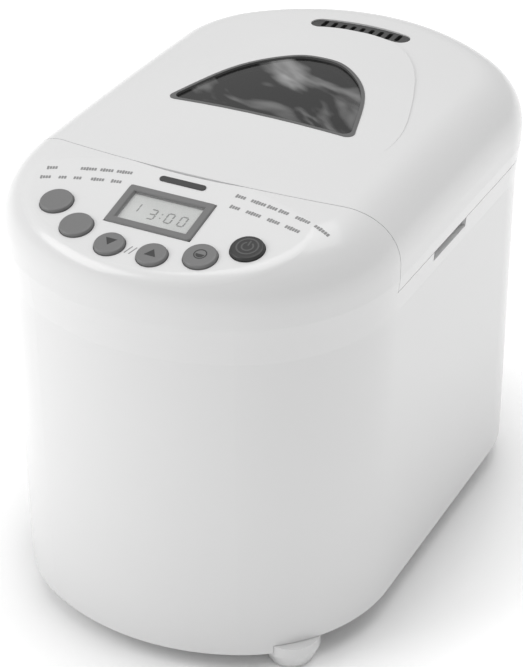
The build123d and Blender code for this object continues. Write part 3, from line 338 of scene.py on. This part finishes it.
PANEL_MIDDLE, PANEL_ACROSS, PANEL_UP, PANEL_OUT = panel_frame()
INK = 0.06  # thickness of printed marks, mm
INK_GAP = 0.02  # how far printed marks stand off the housing, mm
PROBE_HEIGHT = 20.0  # where the search for the housing's surface starts, mm over the panel


def panel_point(across, slope, height):
    """A place on the panel, in millimetres across, up the slope and above it."""
    return PANEL_MIDDLE + MM * (across * PANEL_ACROSS + slope * PANEL_UP + height * PANEL_OUT)


def surface_of(*names):
    """A search tree over the CAD nodes' surfaces."""
    points, faces = [], []
    for name in names:
        data = nodes[name].data
        first = len(points)
        points.extend(v.co.copy() for v in data.vertices)
        faces.extend([first + i for i in polygon.vertices] for polygon in data.polygons)
    return BVHTree.FromPolygons(points, faces)


HOUSING_SURFACE = surface_of("control_panel", "control_housing")


def close_prism(mesh, low, high):
    """Faces between two matching loops."""
    mesh.faces.new(low[::-1])
    mesh.faces.new(high)
    count = len(low)
    for i in range(count):
        j = (i + 1) % count
        mesh.faces.new((low[i], low[j], high[j], high[i]))


def add_print(mesh, outline):
    """A thin mark that lies on the housing where it starts to curve down, too."""
    low, high = [], []
    for x, y in outline:
        hit = HOUSING_SURFACE.ray_cast(panel_point(x, y, PROBE_HEIGHT), -PANEL_OUT)[0]
        low.append(mesh.verts.new(hit + INK_GAP * MM * PANEL_OUT))
        high.append(mesh.verts.new(hit + (INK_GAP + INK) * MM * PANEL_OUT))
    close_prism(mesh, low, high)


def add_prism(mesh, outline, height, thickness):
    """A thin slab on the panel with the given outline in panel millimetres."""
    low = [mesh.verts.new(panel_point(x, y, height)) for x, y in outline]
    high = [mesh.verts.new(panel_point(x, y, height + thickness)) for x, y in outline]
    close_prism(mesh, low, high)


def bar_outline(x, y, width, depth, lean=0.0, turn=0.0):
    """A rectangle with clipped corners, leaning sideways by lean and turned by turn."""
    clip = 0.18 * min(width, depth)
    half_w, half_d = width / 2, depth / 2
    corners = [
        (-half_w + clip, -half_d),
        (half_w - clip, -half_d),
        (half_w, -half_d + clip),
        (half_w, half_d - clip),
        (half_w - clip, half_d),
        (-half_w + clip, half_d),
        (-half_w, half_d - clip),
        (-half_w, -half_d + clip),
    ]
    cos_t, sin_t = math.cos(turn), math.sin(turn)
    placed = []
    for a, b in corners:
        a += lean * b
        placed.append((x + a * cos_t - b * sin_t, y + a * sin_t + b * cos_t))
    return placed


def finish_piece(name, mesh, material, body):
    """Turns a bmesh into a piece with its material and body."""
    data = bpy.data.meshes.new(name)
    mesh.to_mesh(data)
    mesh.free()
    data.materials.append(material)
    piece = bpy.data.objects.new(name, data)
    scene.collection.objects.link(piece)
    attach(piece, body)


def make_panel_print():
    """Two curved rows of plain blocks on each side of the display, and strokes below it."""
    mesh = bmesh.new()
    block, gap, tall = 1.3, 0.3, 2.9
    short = 0.8
    rows = (
        # side, height of the row's arc at the middle, arc radius, caption places, blocks in each
        (-1, 26.8, 235.0, (36.0, 46.5, 57.0, 77.5), (6, 5, 6, 4)),
        (-1, 18.2, 235.0, (36.5, 47.5, 59.0, 67.5, 77.0), (4, 5, 3, 3, 4)),
        (1, 28.2, 385.0, (36.0, 47.5, 56.5, 64.0, 76.5, 89.0), (4, 6, 4, 4, 6, 6)),
        (1, 19.2, 385.0, (37.0, 49.0, 62.0, 74.5), (4, 6, 5, 6)),
    )
    for side, top, arc_r, places, counts in rows:
        for place, count in zip(places, counts):
            turn = -side * math.asin(place / arc_r)
            middle_y = top - place**2 / (2 * arc_r)
            for i in range(count):
                along = (i - (count - 1) / 2) * (block + gap)
                x = side * place + along * math.cos(turn)
                y = middle_y + along * math.sin(turn)
                height = tall * (short if (i * 3 + count) % 4 else 1.0)
                add_print(mesh, bar_outline(x, y, block, height, turn=turn))
    # two slanted strokes between the timer buttons
    stroke_y, stroke_width, stroke_height, stroke_lean = -32.6, 0.7, 6.0, 0.35
    for x in (-1.6, 1.2):
        add_print(mesh, bar_outline(x, stroke_y, stroke_width, stroke_height, lean=stroke_lean))
    finish_piece("panel_print", mesh, tones["print_grey"], "casing")


SEGMENTS = {
    # bar: across, up, lies flat, in units of half a digit
    "a": (0, 2, True),
    "b": (1, 1, False),
    "c": (1, -1, False),
    "d": (0, -2, True),
    "e": (-1, -1, False),
    "f": (-1, 1, False),
    "g": (0, 0, True),
}
DIGITS = {"0": "abcdef", "1": "bc", "3": "abcdg"}


def make_display():
    """Segments on the display: a programme number and a time."""
    mesh = bmesh.new()
    low = -1.28  # just over the display, under its window
    thickness = 0.05
    lean = 0.06
    long, thin = 1.7, 0.5  # a bar's sides, in halves of a digit
    dot_x, dot_side = 1.2, 0.9
    for figure, middle_x, middle_y, scale in (
        ("1", -15.5, 1.0, 1.7),
        ("3", -4.2, -1.5, 1.9),
        ("0", 6.4, -1.5, 1.9),
        ("0", 14.6, -1.5, 1.9),
    ):
        for key in DIGITS[figure]:
            x, y, flat = SEGMENTS[key]
            width, depth = (long * scale, thin * scale) if flat else (thin * scale, long * scale)
            bar = bar_outline(middle_x + x * scale, middle_y + y * scale, width, depth, lean)
            add_prism(mesh, bar, low, thickness)
    for y in (-3.0, 0.2):
        add_prism(mesh, bar_outline(dot_x, y, dot_side, dot_side), low, thickness)
    finish_piece("display_figures", mesh, tones["display_ink"], "casing")


# the gap between the lid's front edge and the housing: an arc, this far behind the machine's front
GAP_MIDDLE = 0.0835  # in the middle of the machine
GAP_CORNER = 0.1045  # at its sides
CASE_HALF_WIDTH = 0.120
STRIP_HALF_LENGTH = 0.1165
STRIP_HALF_WIDTH = 0.17 * MM
STRIP_TOP, STRIP_BOTTOM = 0.9 * MM, 2.4 * MM  # below the housing's surface
BESIDE_GAP = 0.9 * MM  # how far from the gap's middle that surface is measured
STRIP_STEPS = 96


def make_seam_strip():
    """A soft strip, lighter than the casing, that fills the gap between the lid and the housing, just under flush:
    painted light that hides the gap's shade.
    """
    low, high = (Vector(corner) for corner in cad_box)
    bow = GAP_CORNER - GAP_MIDDLE
    arc_r = (CASE_HALF_WIDTH**2 + bow**2) / (2 * bow)
    middle = Vector((0, low.y + GAP_MIDDLE + arc_r, 0))
    over_top = high.z + 0.05
    surface = surface_of("control_housing")
    reach = math.asin(STRIP_HALF_LENGTH / arc_r)
    mesh = bmesh.new()
    rings = []
    for i in range(STRIP_STEPS + 1):
        turn = reach * (2 * i / STRIP_STEPS - 1)
        outward = Vector((math.sin(turn), -math.cos(turn), 0))
        probe = middle + (arc_r + BESIDE_GAP) * outward
        hit = surface.ray_cast(Vector((probe.x, probe.y, over_top)), Vector((0, 0, -1)))[0]
        ring = []
        for out, down in (
            (-STRIP_HALF_WIDTH, STRIP_TOP),
            (STRIP_HALF_WIDTH, STRIP_TOP),
            (STRIP_HALF_WIDTH, STRIP_BOTTOM),
            (-STRIP_HALF_WIDTH, STRIP_BOTTOM),
        ):
            place = middle + (arc_r + out) * outward
            ring.append(mesh.verts.new((place.x, place.y, hit.z - down)))
        rings.append(ring)
    for here, there in zip(rings, rings[1:]):
        for k in range(4):
            j = (k + 1) % 4
            mesh.faces.new((here[k], here[j], there[j], there[k]))
    mesh.faces.new(rings[0])
    mesh.faces.new(rings[-1][::-1])
    bmesh.ops.recalc_face_normals(mesh, faces=mesh.faces)
    finish_piece("seam_strip", mesh, tones["strip_painted_light"], "casing")


def button_middle(name):
    """A button's place in panel millimetres."""
    low, high = (Vector(corner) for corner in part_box(name))
    offset = ((low + high) / 2 - PANEL_MIDDLE) / MM
    return offset.dot(PANEL_ACROSS), offset.dot(PANEL_UP)


def button_top(name):
    """How far a button stands out of the panel, in millimetres."""
    return max(PANEL_OUT.dot(v.co - PANEL_MIDDLE) for v in nodes[name].data.vertices) / MM


def ring_slab(mesh, x, y, outer_r, inner_r, height, thickness, start=0.0, sweep=2 * math.pi):
    """A flat ring on a button, or an arc of one."""
    steps = 40
    closed = sweep == 2 * math.pi
    angles = [start + sweep * i / steps for i in range(steps if closed else steps + 1)]
    loops = []
    for radius, lift in ((inner_r, 0), (outer_r, 0), (outer_r, thickness), (inner_r, thickness)):
        loop = []
        for angle in angles:
            across, up = x + radius * math.cos(angle), y + radius * math.sin(angle)
            loop.append(mesh.verts.new(panel_point(across, up, height + lift)))
        loops.append(loop)
    for i in range(steps):
        j = (i + 1) % len(angles)
        for k in range(4):
            here, there = loops[k], loops[(k + 1) % 4]
            mesh.faces.new((here[i], here[j], there[j], there[i]))
    if not closed:
        mesh.faces.new([loop[0] for loop in loops])
        mesh.faces.new([loop[-1] for loop in loops][::-1])


# marks on the buttons: lengths in mm, and a ring as its outer and inner radius
ARROW_HALF_WIDTH, ARROW_HEIGHT = 3.5, 5.4
SIZE_RING, SIZE_DISC_R = (3.8, 3.1), 2.6
START_RING, START_ARC = (6.4, 5.5), (3.6, 2.7)
START_ARC_FROM, START_ARC_SWEEP = math.radians(120), math.radians(300)
STROKE_RISE, STROKE_WIDTH, STROKE_HEIGHT = 2.6, 0.9, 4.0


def half_turn(steps):
    """Angles of a lower half circle, end to end."""
    return [math.pi * (1 + i / steps) for i in range(steps + 1)]


def make_button_marks():
    """Arrows on the timer buttons, a half-filled ring on the size button, a ring and stroke on start."""
    for name, up in (("timer_down_button", -1), ("timer_up_button", 1)):
        x, y = button_middle(name)
        top = button_top(name)
        mesh = bmesh.new()
        half, tall = ARROW_HALF_WIDTH, ARROW_HEIGHT
        outline = [(x - half, y - up * tall / 2), (x + half, y - up * tall / 2), (x, y + up * tall / 2)]
        add_prism(mesh, outline if up > 0 else outline[::-1], top, INK)
        finish_piece(name.replace("button", "arrow"), mesh, tones["mark_dark"], name)
    x, y = button_middle("size_button")
    top = button_top("size_button")
    mesh = bmesh.new()
    ring_slab(mesh, x, y, *SIZE_RING, top, INK)
    half_disc = [
        (x + SIZE_DISC_R * math.cos(turn), y + SIZE_DISC_R * math.sin(turn)) for turn in half_turn(24)
    ]
    add_prism(mesh, half_disc, top, INK)
    finish_piece("size_mark", mesh, tones["mark_dark"], "size_button")
    x, y = button_middle("start_button")
    top = button_top("start_button")
    mesh = bmesh.new()
    ring_slab(mesh, x, y, *START_RING, top, INK)
    ring_slab(mesh, x, y, *START_ARC, top, INK, start=START_ARC_FROM, sweep=START_ARC_SWEEP)
    add_prism(mesh, bar_outline(x, y + STROKE_RISE, STROKE_WIDTH, STROKE_HEIGHT), top, INK)
    finish_piece("start_mark", mesh, tones["start_ink"], "start_button")


make_camera()
make_floor()
make_lights()
tones = make_materials()
dress_cad_nodes(tones)
make_seam_strip()
make_panel_print()
make_display()
make_button_marks()
